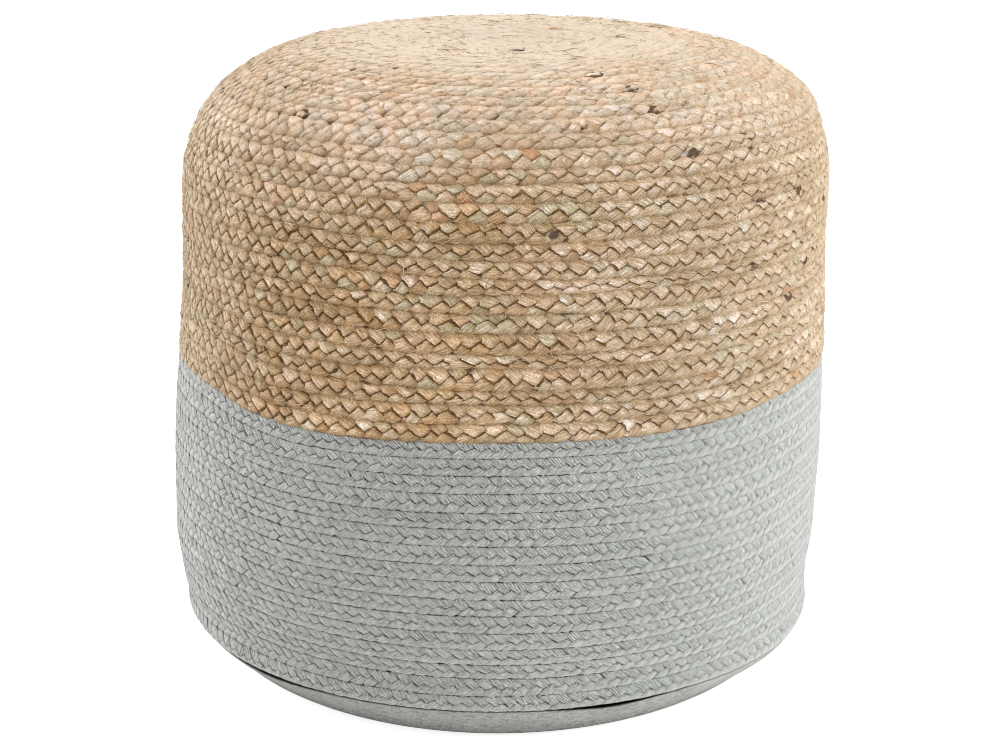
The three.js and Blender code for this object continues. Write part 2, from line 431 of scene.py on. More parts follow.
def new_piece(name, points, faces, material, nodes):
    """A piece of the pouf from points in millimetres and arrays of faces with equally many corners."""
    mesh = bpy.data.meshes.new(name)
    mesh.vertices.add(len(points))
    mesh.vertices.foreach_set("co", (points * MM).astype(np.float32).ravel())
    corners = np.concatenate([f.ravel() for f in faces])
    counts = np.concatenate([np.full(len(f), f.shape[1]) for f in faces])
    mesh.loops.add(len(corners))
    mesh.loops.foreach_set("vertex_index", corners.astype(np.int32))
    mesh.polygons.add(len(counts))
    mesh.polygons.foreach_set("loop_start", (np.cumsum(counts) - counts).astype(np.int32))
    mesh.update(calc_edges=True)
    mesh.polygons.foreach_set("use_smooth", np.ones(len(counts), bool))
    mesh.materials.append(material)
    piece = in_scene(name, mesh)
    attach(piece, "root")
    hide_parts(*nodes)
    return piece


def point_values(mesh, name, values):
    """Stores a number, or three, for each point of a mesh."""
    kind, field = ("FLOAT", "value") if values.ndim == 1 else ("FLOAT_VECTOR", "vector")
    mesh.attributes.new(name, kind, "POINT").data.foreach_set(field, values.astype(np.float32).ravel())


def strand_plan(style, n, rng):
    """Places along the winding, slants and half widths of strands, for the upper half, 1, and the lower, -1."""
    even = (np.arange(n + 1) + 0.5) * style["pitch"]
    bounds = {side: even + rng.normal(0, style["slip"], n + 1) for side in (1, -1)}
    bounds[-1] += style["pitch"] / 2
    places, slants, widths = {}, {}, {}
    for side, half in ((1, "upper"), (-1, "lower")):
        level = math.radians(style[half]["angle"])
        places[side] = (bounds[side][1:] + bounds[side][:-1]) / 2
        slants[side] = level + rng.normal(0, style["unlike"], n)
        widths[side] = np.diff(bounds[side]) * math.sin(level) / 2
    return places, slants, widths


def drifting(rng, drifts, strand, place, chance):
    """A value from 0 to 1 that drifts along each of the three strands, with some chance."""
    value = np.choose(strand, [at(place) for at in drifts]) + rng.normal(0, chance, len(place))
    return (0.5 + DRIFT_SHARE * value).clip(0, 1)


def plait(braid, rng):
    """The stretches of strand of both halves of a braid, as arrays with a row for each."""
    style = dict(braid.style, row=braid.row)
    n = int(braid.length[-1] / style["pitch"]) - 2
    hue_drifts = [drift(rng, TURN / HUE_DRIFT) for _ in range(3)]
    tone_drifts = [drift(rng, TURN / TONE_DRIFT) for _ in range(3)]
    places, slants, widths = strand_plan(style, n, rng)
    halves = []
    for side in (1, -1):
        over = np.minimum(np.arange(n) + (side < 0), n - 1)
        place = places[side]
        spread = np.abs(rng.normal(0, style["spread"], n))
        cover = (places[-side][over] - place, widths[-side][over], slants[-side][over])
        shape = (widths[side], slants[side], *cover, spread)
        xs, ys, zs, us, vs, to_cover = leaf(style, side, *(value[:, None, None] for value in shape))
        ts = np.array(style["rings"])[:, None] + 0 * vs[0]
        cs = np.array(style["section"])[:, 0] + 0 * vs[0]
        bob = rng.normal(0, style["bob"], (n, 1, 1))
        start_u, start_v = rng.uniform(0, PATTERN, (n, 1, 1)), rng.uniform(0, PATTERN, (n, 1, 1))
        odd = rng.random(n) ** ODD_POWER
        chance = rng.random((n, 1, 1))
        ragged = rng.normal(0, style["ragged"], (n, 1, len(style["section"])))
        turn = np.radians(style["twist"] + rng.normal(0, style["unruly"], (n, 1, 1)))
        strand = (np.arange(n) * 2 + (side < 0)) % 3
        hue = drifting(rng, hue_drifts, strand, place, HUE_CHANCE)
        tone = drifting(rng, tone_drifts, strand, place, TONE_CHANCE)
        angle = np.interp(place[:, None, None] + xs, braid.length, braid.angle)
        low = np.interp(angle, braid.angle, braid.low)
        high = np.interp(angle, braid.angle, braid.high)
        wide = ((high - low) / braid.row).clip(0.1)
        centre = (low + high) / 2
        half = braid.row / 2

        def reach_of(y):
            return (centre + y * wide).clip(braid.start - HEM, braid.stop + HEM)

        y = (reach_of(ys * side + style["middle"]) - centre) / wide
        to_edge = half - np.abs(y)
        share = np.abs(y) / half
        rub = style["rubbed"] * np.interp(-np.sin(angle), RUBBED_SIDE, (0, 1))
        further = FIRM_FURTHER * np.cos(angle - FIRM_AT).clip(0)
        worn = np.minimum(np.interp(centre - further, WORN_REACH, WORN_RELIEF), 1 - rub)
        free_edge = np.interp(centre + y * wide, (braid.start, braid.start + half), (style["edge_crown"], 1))
        crown = style["crown"] * free_edge * worn
        slope = crown * style["crown_power"] / half * share ** (style["crown_power"] - 1) * np.sign(y)
        scruff = rng.normal(0, style["scruff"], zs.shape) * (1 - worn) / (1 - WORN_RELIEF[-1])
        z = (zs + bob) * worn + ragged * np.sqrt(worn) + scruff
        reach = reach_of(y + z * np.clip(slope, -STEEPEST, STEEPEST))
        z = z - crown * share ** style["crown_power"]
        tuck = style["tuck"] * ((reach - braid.stop + TUCK_LENGTH) / TUCK_LENGTH).clip(0, 1)
        here = np.interp(place, braid.length, braid.angle)
        turned_u, turned_v = us * np.cos(turn) - vs * np.sin(turn), vs * np.cos(turn) + us * np.sin(turn)
        ends = np.stack([ts, cs, 0 * ts + (side > 0)], -1)
        stretches = dict(
            points=on_surface(angle, reach, z - SET_IN - tuck),
            row=np.floor((here - math.pi) / TURN + ROW_START).clip(-1),
            hue=hue,
            tone=tone,
            odd=odd,
            strand=np.stack([turned_u + start_u, turned_v + start_v, 0 * us], -1),
            ends=np.broadcast_to(ends, (n, *ends.shape)),
            seams=np.stack([to_cover, to_edge, chance + 0 * us], -1),
        )
        room = np.interp(here, braid.angle, braid.high - braid.low) / braid.row
        halves.append({key: values[room > LEAST_ROOM] for key, values in stretches.items()})
    return halves


def mark_odd(braid, halves, spots, value):
    """Gives the stretch nearest to each spot an odd colour."""
    for degrees, distance in spots:
        spot = on_surface(math.radians(degrees), braid.start + distance, 0)
        away = [np.linalg.norm(half["points"][:, 3].mean(1) - spot, axis=1) for half in halves]
        nearest = min((0, 1), key=lambda k: away[k].min())
        halves[nearest]["odd"][away[nearest].argmin()] = value


def braid_piece(name, halves, material, node):
    """A piece from the stretches of both halves, each in a square of its own on the map."""
    rings, across = halves[0]["points"].shape[1:3]
    shape = strand_shape(rings, across)
    grid = math.ceil(math.sqrt(sum(len(half["row"]) for half in halves)))
    faces, cells = ([], []), ([], [])
    first = 0
    for half, flip in zip(halves, (slice(None, None, -1), slice(None))):
        number = first + np.arange(len(half["row"]))[:, None, None]
        corner = np.stack([number % grid, number // grid], -1)
        for kind, (corners, squares) in enumerate(shape):
            face = number * rings * across + corners[None][:, :, flip]
            square = corner + CELL_EDGE + CELL_SIZE * squares[None][:, :, flip]
            faces[kind].append(face.reshape(-1, corners.shape[1]))
            cells[kind].append((square / grid).reshape(-1, 2))
        first += len(half["row"])
    points = np.concatenate([half["points"].reshape(-1, 3) for half in halves])
    piece = new_piece(name, points, [np.concatenate(kind) for kind in faces], material, [node])
    for key in ("strand", "ends", "seams"):
        point_values(piece.data, key, np.concatenate([half[key].reshape(-1, 3) for half in halves]))
    for key in ("hue", "tone", "odd"):
        point_values(piece.data, key, np.concatenate([np.repeat(half[key], rings * across) for half in halves]))
    layer = piece.data.uv_layers.new(name="OFBake")
    layer.data.foreach_set("uv", np.concatenate(cells[0] + cells[1]).astype(np.float32).ravel())


def lay_braid(name, braid, rng, material, node, marks=()):
    """Plaits a braid, with odd strands nearest to the marks, and makes a piece of every few rows."""
    halves = plait(braid, rng)
    for spots, value in marks:
        mark_odd(braid, halves, spots, value)
    last_row = int(max(half["row"].max() for half in halves))
    for number, first in enumerate(range(-1, last_row + 1, ROWS_A_PIECE)):
        chosen = []
        for half in halves:
            inside = (half["row"] >= first) & (half["row"] < first + ROWS_A_PIECE)
            chosen.append({key: values[inside] for key, values in half.items()})
        braid_piece(f"{name}_{number + 1:02d}", chosen, material, node)


def lay_fibres(name, braid, rng, material, node):
    """Loose fibres that stand off the braid: thin three-sided hairs with closed ends."""
    n = FIBRES["count"]
    t = np.linspace(-0.5, 0.5, FIBRES["rings"])
    long = rng.uniform(*FIBRES["length"], (n, 1))
    thick = rng.uniform(*FIBRES["thickness"], (n, 1, 1))
    place = rng.uniform(*FIBRES["along"], (n, 1)) * braid.length[-1]
    across = rng.normal(*FIBRES["across"], (n, 1))
    heading = rng.normal(0, FIBRES["stray"], (n, 1)) + FIBRES["slant"] * rng.choice((-1, 1), (n, 1))
    bend = rng.normal(0, FIBRES["bend"], (n, 1))
    stand = rng.uniform(*FIBRES["stand"], (n, 1))
    along = place + long * t * np.cos(heading) - long * bend * (4 * t * t) * np.sin(heading)
    aside = long * t * np.sin(heading) + long * bend * (4 * t * t) * np.cos(heading)
    angle = np.interp(along, braid.length, braid.angle)
    middle = (np.interp(angle, braid.angle, braid.low) + np.interp(angle, braid.angle, braid.high)) / 2
    reach = (middle + across * braid.row + aside).clip(braid.start, braid.stop)
    out = stand * (1 - 4 * t * t) - FIBRES["sunk"]
    spine = on_surface(angle, reach, out)
    upward = on_surface(angle, reach, out + 1) - spine
    ahead = np.gradient(spine, axis=1)
    ahead /= np.linalg.norm(ahead, axis=2, keepdims=True)
    sideways = np.cross(upward, ahead)
    ring = np.arange(3)[:, None] * TURN / 3
    points = spine[:, :, None] + thick[..., None] * (
        np.cos(ring) * sideways[:, :, None] + np.sin(ring) * upward[:, :, None]
    )
    starts = np.arange(n)[:, None, None] * len(t) * 3
    faces = [(starts + part).reshape(-1, part.shape[1]) for part, _ in strand_shape(len(t), 3)]
    new_piece(name, points.reshape(-1, 3), faces, material, [node])


# Where across a row the ground's points lie, and distances in metres under which points and edges merge.
GROUND_SHARES = (0, 0.2, 0.5, 0.8)
SAME_POINT = 2e-5
NO_EDGE = 1e-6


def lay_ground(name, braid, material, slot, node, floor_height, roof_height=None):
    """The cloth under the strands: a closed solid with a soft ridge for every row."""
    low, high = braid.low[:, None], braid.high[:, None]
    reach = low + (high - low) * np.array(GROUND_SHARES)
    room = ((high - low) / braid.row).clip(0, 1)
    points = on_surface(braid.angle[:, None], reach, -np.array(braid.style["ground"]) * (0.5 + 0.5 * room))
    points = points.reshape(-1, 3)
    own = np.arange(reach.size).reshape(reach.shape)
    laid = len(own) - STEPS_ROUND
    index = np.concatenate([own, np.roll(own[:, :1], -STEPS_ROUND, axis=0)], 1)[:laid]
    faces = np.stack([index[:-1, :-1], index[1:, :-1], index[1:, 1:], index[:-1, 1:]], -1).reshape(-1, 4)
    rings = [(own[:STEPS_ROUND, 0], floor_height, True)]
    if roof_height is not None:
        rings.append((own[laid - 1: -1, 0], roof_height, False))
    fans, tips = [], []
    for ring, height, down in rings:
        following = np.roll(ring, -1)
        pair = (following, ring) if down else (ring, following)
        fans.append(np.stack([*pair, np.full(len(ring), len(points) + len(tips))], -1))
        tips.append((lean(np.array(float(height))), 0, height))
    piece = new_piece(name, np.concatenate([points, tips]), [faces, *fans], material, [node])
    work = bmesh.new()
    work.from_mesh(piece.data)
    bmesh.ops.remove_doubles(work, verts=work.verts, dist=SAME_POINT)
    bmesh.ops.dissolve_degenerate(work, dist=NO_EDGE, edges=work.edges)
    work.to_mesh(piece.data)
    work.free()
    return piece


def node(tree, kind, inputs=None, **settings):
    """Adds a shader node, with each input linked to a socket or set to a value."""
    made = tree.nodes.new("ShaderNode" + kind)
    for key, value in settings.items():
        setattr(made, key, value)
    for key, value in (inputs or {}).items():
        if isinstance(value, bpy.types.NodeSocket):
            tree.links.new(value, made.inputs[key])
        else:
            made.inputs[key].default_value = value
    return made


def stored(tree, name):
    """A number that is stored for each point of the mesh."""
    return node(tree, "Attribute", attribute_name=name).outputs["Fac"]


def stored_xyz(tree, name):
    """Three numbers that are stored for each point of the mesh."""
    return node(tree, "SeparateXYZ", {0: node(tree, "Attribute", attribute_name=name).outputs["Vector"]}).outputs


def position(tree):
    """A point's own x, y and z in metres."""
    return node(tree, "SeparateXYZ", {0: node(tree, "TexCoord").outputs["Object"]}).outputs


def tree_of(*values):
    """The node tree that the first socket among the values is in."""
    return next(value.id_data for value in values if hasattr(value, "id_data"))


def remap(value, low, high, to_low=0, to_high=1):
    """A number carried from one range to another and held inside it."""
    return node(tree_of(value), "MapRange", {0: value, 1: low, 2: high, 3: to_low, 4: to_high}).outputs[0]


def math_of(operation, first, *others):
    """Sockets and numbers taken together by one operation."""
    tree = tree_of(first, *others)
    if not others:
        return node(tree, "Math", {0: first}, operation=operation).outputs[0]
    for other in others:
        first = node(tree, "Math", {0: first, 1: other}, operation=operation).outputs[0]
    return first


times = partial(math_of, "MULTIPLY")
plus = partial(math_of, "ADD")
most = partial(math_of, "MAXIMUM")


def blend(share, first, second):
    """A number between two others."""
    return node(tree_of(share, first, second), "Mix", {0: share, 2: first, 3: second}).outputs[0]


def ramp(value, stops):
    """A colour chosen by a value, from stops of place and colour."""
    made = node(tree_of(value), "ValToRGB", {"Fac": value})
    elements = made.color_ramp.elements
    while len(elements) < len(stops):
        elements.new(0.5)
    for element, (place, colour) in zip(elements, stops):
        element.position = place
        element.color = (*colour, 1)
    return made.outputs["Color"]


def tinted(colour, by, kind="MULTIPLY", share=1):
    """A colour blended with another colour or a number."""
    inputs = {0: share, 6: colour, 7: by}
    inputs = {key: (*value, 1) if isinstance(value, tuple) else value for key, value in inputs.items()}
    return node(tree_of(colour, by, share), "Mix", inputs, data_type="RGBA", blend_type=kind).outputs[2]


def marked(colour, *marks):
    """A colour with others laid over it in turn, each by its share."""
    for mark, share in marks:
        colour = tinted(colour, mark, "MIX", share)
    return colour


def joined(shader, **sockets):
    """Links sockets to the shader's inputs of the same names."""
    for name, socket in sockets.items():
        tree_of(socket).links.new(socket, shader.inputs[name.replace("_", " ")])


def new_material(name, rough):
    """A material, its node tree and its shader."""
    material = bpy.data.materials.new(name)
    material.use_nodes = True
    shader = material.node_tree.nodes["Principled BSDF"]
    shader.inputs["Roughness"].default_value = rough
    return material, material.node_tree, shader


def bumped(shader, height, strength, depth):
    """Sets the shader's normal from a height, with a depth in metres."""
    bump = node(tree_of(height), "Bump", {"Height": height, "Strength": strength, "Distance": depth})
    joined(shader, Normal=bump.outputs[0])


# How strongly red, green and blue follow a darkening of plant fibre.
BROWNING = (0.8, 1, 1.42)


def strand_noise(tree, scale_along, scale_across, detail=1, rough=0.6):
    """Noise drawn out along a strand's fibres, from its own lengths in millimetres."""
    way = node(tree, "Attribute", attribute_name="strand").outputs["Vector"]
    place = node(tree, "Mapping", {"Vector": way, "Scale": (scale_along, scale_across, 1)})
    inputs = {"Vector": place.outputs[0], "Scale": 1, "Detail": detail, "Roughness": rough}
    return node(tree, "TexNoise", inputs, noise_dimensions="2D").outputs[0]


def noise(tree, wide, tall=None, detail=2):
    """Noise over the whole pouf, with lumps of a width and, if told, a height in millimetres."""
    place = node(tree, "TexCoord").outputs["Object"]
    if tall:
        place = node(tree, "Mapping", {"Vector": place, "Scale": (1, 1, wide / tall)}).outputs[0]
    return node(tree, "TexNoise", {"Vector": place, "Scale": 1 / (wide * MM), "Detail": detail}).outputs[0]


def warm(light):
    """A grey factor as a colour that is browner where it is dark."""
    channels = {channel: math_of("POWER", light, power) for channel, power in enumerate(BROWNING)}
    return node(tree_of(light), "CombineColor", channels).outputs[0]


def jute_zones(tree):
    """Where the jute is worn, washed out by painted light at the far left, lit on the right and inside the dish, from 0
    to 1.
    """
    x, y, z = position(tree)
    toward = plus(times(x, math.sin(FIRM_AT)), times(y, -math.cos(FIRM_AT)))
    worn = remap(plus(z, remap(toward, 0.1, 0.22, 0, -0.028)), 0.322, 0.387)
    # The far left, where painted light washes the strands out: paler, flatter and with fainter seams.
    washed_left = remap(x, -0.21, -0.13, 0.8, 0)
    to_right = remap(x, 0.08, 0.2)
    from_axis = plus(times(x, x), times(y, y))
    dished = times(worn, remap(from_axis, 0.01, 0.02, 1, 0))
    return worn, washed_left, to_right, dished


def jute_hue(tree, x, worn, dished):
    """The fibres' colour: a strand's hue, patches and what wear does to it, with painted light making it paler to the
    right and at the far left.
    """
    hue = ramp(stored(tree, "hue"), [
        (0.05, (0.55, 0.45, 0.28)), (0.25, (0.62, 0.43, 0.235)), (0.45, (0.67, 0.45, 0.27)),
        (0.6, (0.62, 0.39, 0.19)), (0.78, (0.72, 0.56, 0.38)), (0.95, (0.57, 0.34, 0.165)),
    ])
    peach = remap(noise(tree, 16), 0.45, 0.57)
    faded = tinted((0.65, 0.56, 0.485), (0.75, 0.56, 0.435), "MIX", peach)
    return marked(
        hue,
        ((0.64, 0.42, 0.26), remap(noise(tree, 28), 0.45, 0.65, 0, 0.45)),
        ((0.5, 0.38, 0.225), remap(noise(tree, 55, 14), 0.46, 0.66, 0, 0.55)),
        # Painted light: paler toward the lit right.
        ((0.565, 0.47, 0.36), remap(x, -0.02, 0.11, 0, 0.46)),
        (faded, times(worn, 0.8)),
        ((0.62, 0.55, 0.5), times(dished, 0.8)),
        # Painted sheen: paler at the far left, where light grazes it.
        ((0.7, 0.59, 0.465), remap(x, -0.21, -0.14, 0.65, 0)),
        ((0.5, 0.23, 0.09), remap(stored(tree, "odd"), 0.75, 0.95, 0, 0.7)),
    )


def jute_material():
    """Jute strands: painted brown shade in the seams, streaked along their fibres, paler where they are worn."""
    material, tree, shader = new_material("jute_braid", 0.8)
    x = position(tree)[0]
    worn, washed_left, to_right, dished = jute_zones(tree)
    soft = most(worn, washed_left)
    across, upper = stored_xyz(tree, "ends")[1:]
    seams = stored_xyz(tree, "seams")
    hue = jute_hue(tree, x, worn, dished)

    # Fibres, and uneven distances to the strand on top and to the row's edge.
    streak = strand_noise(tree, 0.1, 0.9)
    fibre = strand_noise(tree, 0.14, 1.6)
    glint = strand_noise(tree, 0.06, 1.7)
    speckle = strand_noise(tree, 0.8, 1.3, detail=3, rough=0.7)
    uneven = remap(speckle, 0.3, 0.7, -0.2, 0.2)
    # A strand's corners are set nearer their cover, so the painted shade gathers there.
    corner = math_of("POWER", math_of("ABSOLUTE", across), 4)
    to_cover = plus(seams[0], uneven, times(corner, blend(worn, -0.9, -1.5)))
    to_edge = plus(seams[1], times(uneven, 3))
    fibres = times(
        remap(streak, 0.36, 0.64, 0.78, 1.18),
        remap(fibre, 0.36, 0.64, 0.86, 1.13),
        remap(glint, 0.6, 0.68, 1, 1.16),
        remap(speckle, 0.35, 0.65, 0.86, 1.12),
    )

    # How light it is, from its tone, fibres and patches of the whole pouf, and from painted light and shade over its
    # own round, its sides and its seams.
    light = times(
        blend(stored(tree, "tone"), 0.78, 1.18),
        blend(most(times(to_right, 0.6), times(worn, 0.6)), fibres, 1),
        remap(noise(tree, 3.4), 0.35, 0.65, 0.86, 1.12),
        remap(noise(tree, 1.1, detail=1), 0.35, 0.65, 0.84, 1.14),
        remap(noise(tree, 60), 0.3, 0.7, 0.88, 1.08),
        remap(noise(tree, 40, 9), 0.35, 0.65, 0.9, 1.08),
        # Painted light and shade across the pouf: darker on the right, lighter at the far left, and a gradient from
        # left to right.
        blend(to_right, 1, 0.84),
        remap(x, -0.225, -0.18, 1.08, 1),
        blend(worn, remap(x, -0.13, 0.04, 0.95, 1.08), remap(x, -0.16, 0.16, 1.09, 0.9)),
        # Painted shade near the strand on top and at a strand's right edge, a painted highlight along its left edge,
        # and its upper half painted lighter than its lower.
        remap(to_cover, 0.2, 2.6, 0.58, 1.04),
        remap(across, 0.8, 1, 1, 0.6),
        remap(across, -0.8, 0.9, 1.18, 0.82),
        blend(upper, 0.95, 1.06),
        # Painted shade toward the row's edges.
        remap(to_edge, -0.3, 3.4, blend(to_right, 0.6, 0.76), 1.11),
    )
    felted = times(
        remap(noise(tree, 2.6), 0.37, 0.63, 0.8, 1.13),
        remap(noise(tree, 9), 0.35, 0.65, 0.9, 1.06),
        blend(worn, 1, 0.89),
    )
    # Where worn, a strand's shading gives way to felt; at the far left it gives way to an even painted light.
    light = blend(most(times(worn, 0.5), times(washed_left, 0.75)), light, felted)
    light = blend(times(dished, 0.75), light, 0.85)

    # Painted shade in the seams, broken up: at a strand's tip, its near edge and the line between two rows.
    tip = remap(to_cover, 0.05, 0.6, 1, 0)
    near_edge = times(remap(seams[1], 0.5, 4.5, 0.2, 1), remap(across, -1, -0.87, 0.95, 0))
    open_row = times(remap(noise(tree, 22, 8), 0.46, 0.6, 0, 0.8), remap(to_edge, 0.1, 0.9, 1, 0))
    gap = times(remap(noise(tree, 18, 6), 0.6, 0.67), remap(to_edge, 0.2, 1.8, 1, 0))
    broken = remap(noise(tree, 3.2, detail=1), 0.47, 0.58, 0.1, 1)
    # The share of painted shade each seam keeps, broken into flecks by chance and where worn.
    shade_flecks = times(broken, remap(seams[2], 0.3, 0.65, 0.3, 0.9), remap(worn, 0.5, 1, 1, 0.6))
    dark = times(
        most(tip, near_edge, open_row, gap),
        blend(soft, 0.9, shade_flecks),
        blend(dished, 1, 0.06),
        remap(noise(tree, 6, detail=1), 0.38, 0.55, 0.65, 1),
    )
    shade = tinted((0.088, 0.041, 0.013), (0.2, 0.11, 0.05), "MIX", soft)

    # Crumbs of fibre where it is soft, specks, darker specks on the left, and strands of bark.
    torn = remap(strand_noise(tree, 0.16, 0.22, detail=0.5), 0.4, 0.56, 0, 0.9)
    bark = times(remap(stored(tree, "odd"), -0.9, -0.5, 1, 0), torn)
    crumbs = times(soft, blend(dished, 0.6, 0.35), remap(noise(tree, 4, detail=1), 0.62, 0.68))
    specks = times(blend(to_right, 0.2, 0.6), remap(noise(tree, 2, detail=0), 0.66, 0.74))
    left_specks = times(remap(x, -0.19, -0.09, 0.75, 0), remap(noise(tree, 2.4, detail=1), 0.57, 0.65))
    joined(shader, Base_Color=marked(
        tinted(hue, warm(light)),
        (shade, dark),
        ((0.27, 0.155, 0.065), crumbs),
        ((0.2, 0.115, 0.05), specks),
        ((0.15, 0.085, 0.04), left_specks),
        ((0.07, 0.042, 0.026), bark),
    ))
    dull = most(dark, bark)
    shader.inputs["Sheen Tint"].default_value = (0.92, 0.74, 0.52, 1)
    joined(shader, Sheen_Weight=remap(dull, 0, 0.7, 0.7, 0.12), Specular_IOR_Level=remap(dull, 0, 0.6, 0.35, 0))
    fine = times(plus(streak, times(fibre, 0.7)), blend(worn, 1, 0.5))
    relief = times(plus(fine, times(soft, felted, 0.7)), blend(dished, 1, 0.3))
    bumped(shader, relief, 1, 0.001)
    return material


def fibre_material():
    """Loose jute fibres, brown to nearly white."""
    material, tree, shader = new_material("jute_fibre", 0.8)
    joined(shader, Base_Color=ramp(noise(tree, 9), [(0.42, (0.34, 0.22, 0.11)), (0.58, (0.8, 0.68, 0.49))]))
    return material


def jute_ground_material():
    """What shows between jute strands: fibre painted dark as shade, paler on the top."""
    material, tree, shader = new_material("jute_ground", 0.9)
    fine = noise(tree, 1.6, detail=3)
    colour = ramp(fine, [(0.3, (0.16, 0.1, 0.05)), (0.7, (0.42, 0.29, 0.16))])
    on_top = remap(position(tree)[2], 0.39, 0.4, 0, 0.8)
    joined(shader, Base_Color=tinted(colour, (0.5, 0.41, 0.31), "MIX", on_top))
    bumped(shader, fine, 0.8, 0.0008)
    return material


def cotton_material():
    """Grey cotton strands: cords that show in places, with painted shade where one strand goes under another."""
    material, tree, shader = new_material("cotton_braid", 0.85)
    stops = [(0, (0.433, 0.452, 0.416)), (0.5, (0.44, 0.453, 0.424)), (1, (0.455, 0.452, 0.424))]
    hue = ramp(stored(tree, "hue"), stops)
    across, upper = stored_xyz(tree, "ends")[1:]
    seams = stored_xyz(tree, "seams")
    x = position(tree)[0]
    aside = most(remap(x, 0.04, 0.2), remap(x, -0.22, -0.16, 1, 0))

    # Cords side by side along a strand, clear in some patches and felted in others, with painted shade in their valleys
    # and a painted highlight on their crests.
    fuzz = strand_noise(tree, 0.22, 1.3)
    twist = strand_noise(tree, 0.15, 0.35)
    patchy = strand_noise(tree, 0.12, 0.2)
    bent = plus(stored_xyz(tree, "strand")[1], remap(twist, 0.3, 0.7, -0.4, 0.4))
    cord = math_of("ABSOLUTE", math_of("SINE", times(bent, math.pi / CORD)))
    clear = times(remap(patchy, 0.42, 0.54, 0.3, 1), blend(upper, 0.5, 1))
    cords = times(remap(cord, 0.1, 0.65, 0.46, 1.05), remap(cord, 0.75, 1, 1, 1.25))

    # Painted shade in the seams: at a strand's tip, its near edge and the row's edge, weaker at the pouf's sides.
    uneven = remap(fuzz, 0.3, 0.7, -0.25, 0.25)
    to_cover = plus(seams[0], uneven)
    to_edge = plus(seams[1], uneven)
    depth = remap(seams[2], 0.1, 1, 0.1, 0.6)
    depth = blend(upper, depth, blend(0.25, depth, 1))
    tip = blend(remap(to_cover, 0.2, 0.85, 1, 0), 1, depth)
    near_edge = remap(across, -1, -0.82, blend(upper, 0.8, 0.55), 1)
    dash = remap(noise(tree, 2.8, detail=0), 0.43, 0.6, 0.1, 0.8)
    rim = remap(to_edge, 0.05, 0.6, dash, 1)
    light = times(
        blend(stored(tree, "tone"), 0.94, 1.05),
        blend(clear, 1, cords),
        remap(noise(tree, 0.8, detail=1), 0.36, 0.64, 0.7, 1.27),
        remap(fuzz, 0.38, 0.62, 0.8, 1.18),
        remap(twist, 0.35, 0.65, 0.92, 1.06),
        remap(noise(tree, 90), 0.3, 0.7, 0.96, 1.03),
        # Painted shade near the strand on top and the row's edge, painted light at the far left, and painted shade just
        # left of the middle.
        remap(to_cover, 0.6, 2.5, 0.9, 1),
        remap(seams[1], 0, 1.5, 0.94, 1.01),
        remap(x, -0.22, -0.17, 1.15, 1),
        remap(x, -0.05, 0.05, 0.965, 1.005),
        blend(times(aside, 0.25), tip, 1),
        blend(remap(to_cover, 0.8, 3, 0, 0.9), near_edge, 1),
        blend(times(aside, 0.5), rim, 1),
    )
    # Painted light: the pouf's sides lighter and flatter.
    light = blend(times(aside, 0.5), light, 1.04)
    joined(shader, Base_Color=tinted(hue, light))
    joined(shader, Sheen_Weight=remap(light, 0.3, 0.9, 0.1, 1), Specular_IOR_Level=remap(light, 0.3, 0.8, 0, 0.4))
    bumped(shader, plus(times(cord, clear), times(fuzz, 1.2)), 0.9, 0.0007)
    return material


def cotton_ground_material():
    """What shows between cotton strands: dark grey, painted as shade."""
    material, tree, shader = new_material("cotton_ground", 0.9)
    joined(shader, Base_Color=ramp(noise(tree, 1.2), [(0.3, (0.1, 0.105, 0.1)), (0.7, (0.2, 0.205, 0.195))]))
    return material


def base_material():
    """Grey felt with small dents; painted shade in the dents and toward the floor, nearly black painted shade behind
    the lip, and painted light to the right.
    """
    material, tree, shader = new_material("base_cloth", 0.9)
    x, _, z = position(tree)
    fine = noise(tree, 1.3, detail=3)
    dents = noise(tree, 4.5, 1.8)
    colour = ramp(fine, [(0.3, (0.285, 0.291, 0.272)), (0.7, (0.51, 0.518, 0.486))])
    light = times(
        remap(noise(tree, 14), 0.3, 0.7, 0.93, 1.05),
        # Painted shade in the dents, toward the floor and behind the lip, and painted light to the right.
        remap(dents, 0.36, 0.5, 0.74, 1.05),
        remap(z, 0.001, 0.014, 0.5, 1),
        remap(x, -0.06, 0.14, 0.92, 1.14),
        blend(stored(tree, "inside"), 1, 0.06),
    )
    joined(shader, Base_Color=tinted(colour, light))
    bumped(shader, plus(fine, times(dents, 2)), 0.9, 0.0006)
    return material


# The base cloth: its sides, radii of its rings on the floor, heights of those up its wall, and how far in and above the
# slit those of its lip lie, of which the first few can be seen.
BASE_SIDES = 192
FLOOR_RADII = (60, 120, 170)
WALL_HEIGHTS = np.array([0.3, 1, 2, 3, 4.5, 6, 8, 10, 12.5, 15, 18, 21, 24, 26])
LIP_INWARD = np.array([0, 0.3, 1.2, 3.0, 5.0, 8.0])
LIP_ABOVE = np.array([-2.2, -1, -0.4, -1.2, -4.0, -8.0])
LIP_SEEN = 2

# How far the wall is set in, and let down, at the lip, and the heights between which that comes in.
SET_BACK, SET_BACK_HEIGHTS = 1, (12, 26)
LET_DOWN, LET_DOWN_HEIGHTS = 0.5, (10, 26)

# Where the slit above the base stands open: angle, half width and how far the lip drops.
GAPES = (
    dict(at=math.radians(20), spread=math.radians(8), drop=3.4),
    dict(at=math.radians(-47), spread=math.radians(12), drop=5.2),
)


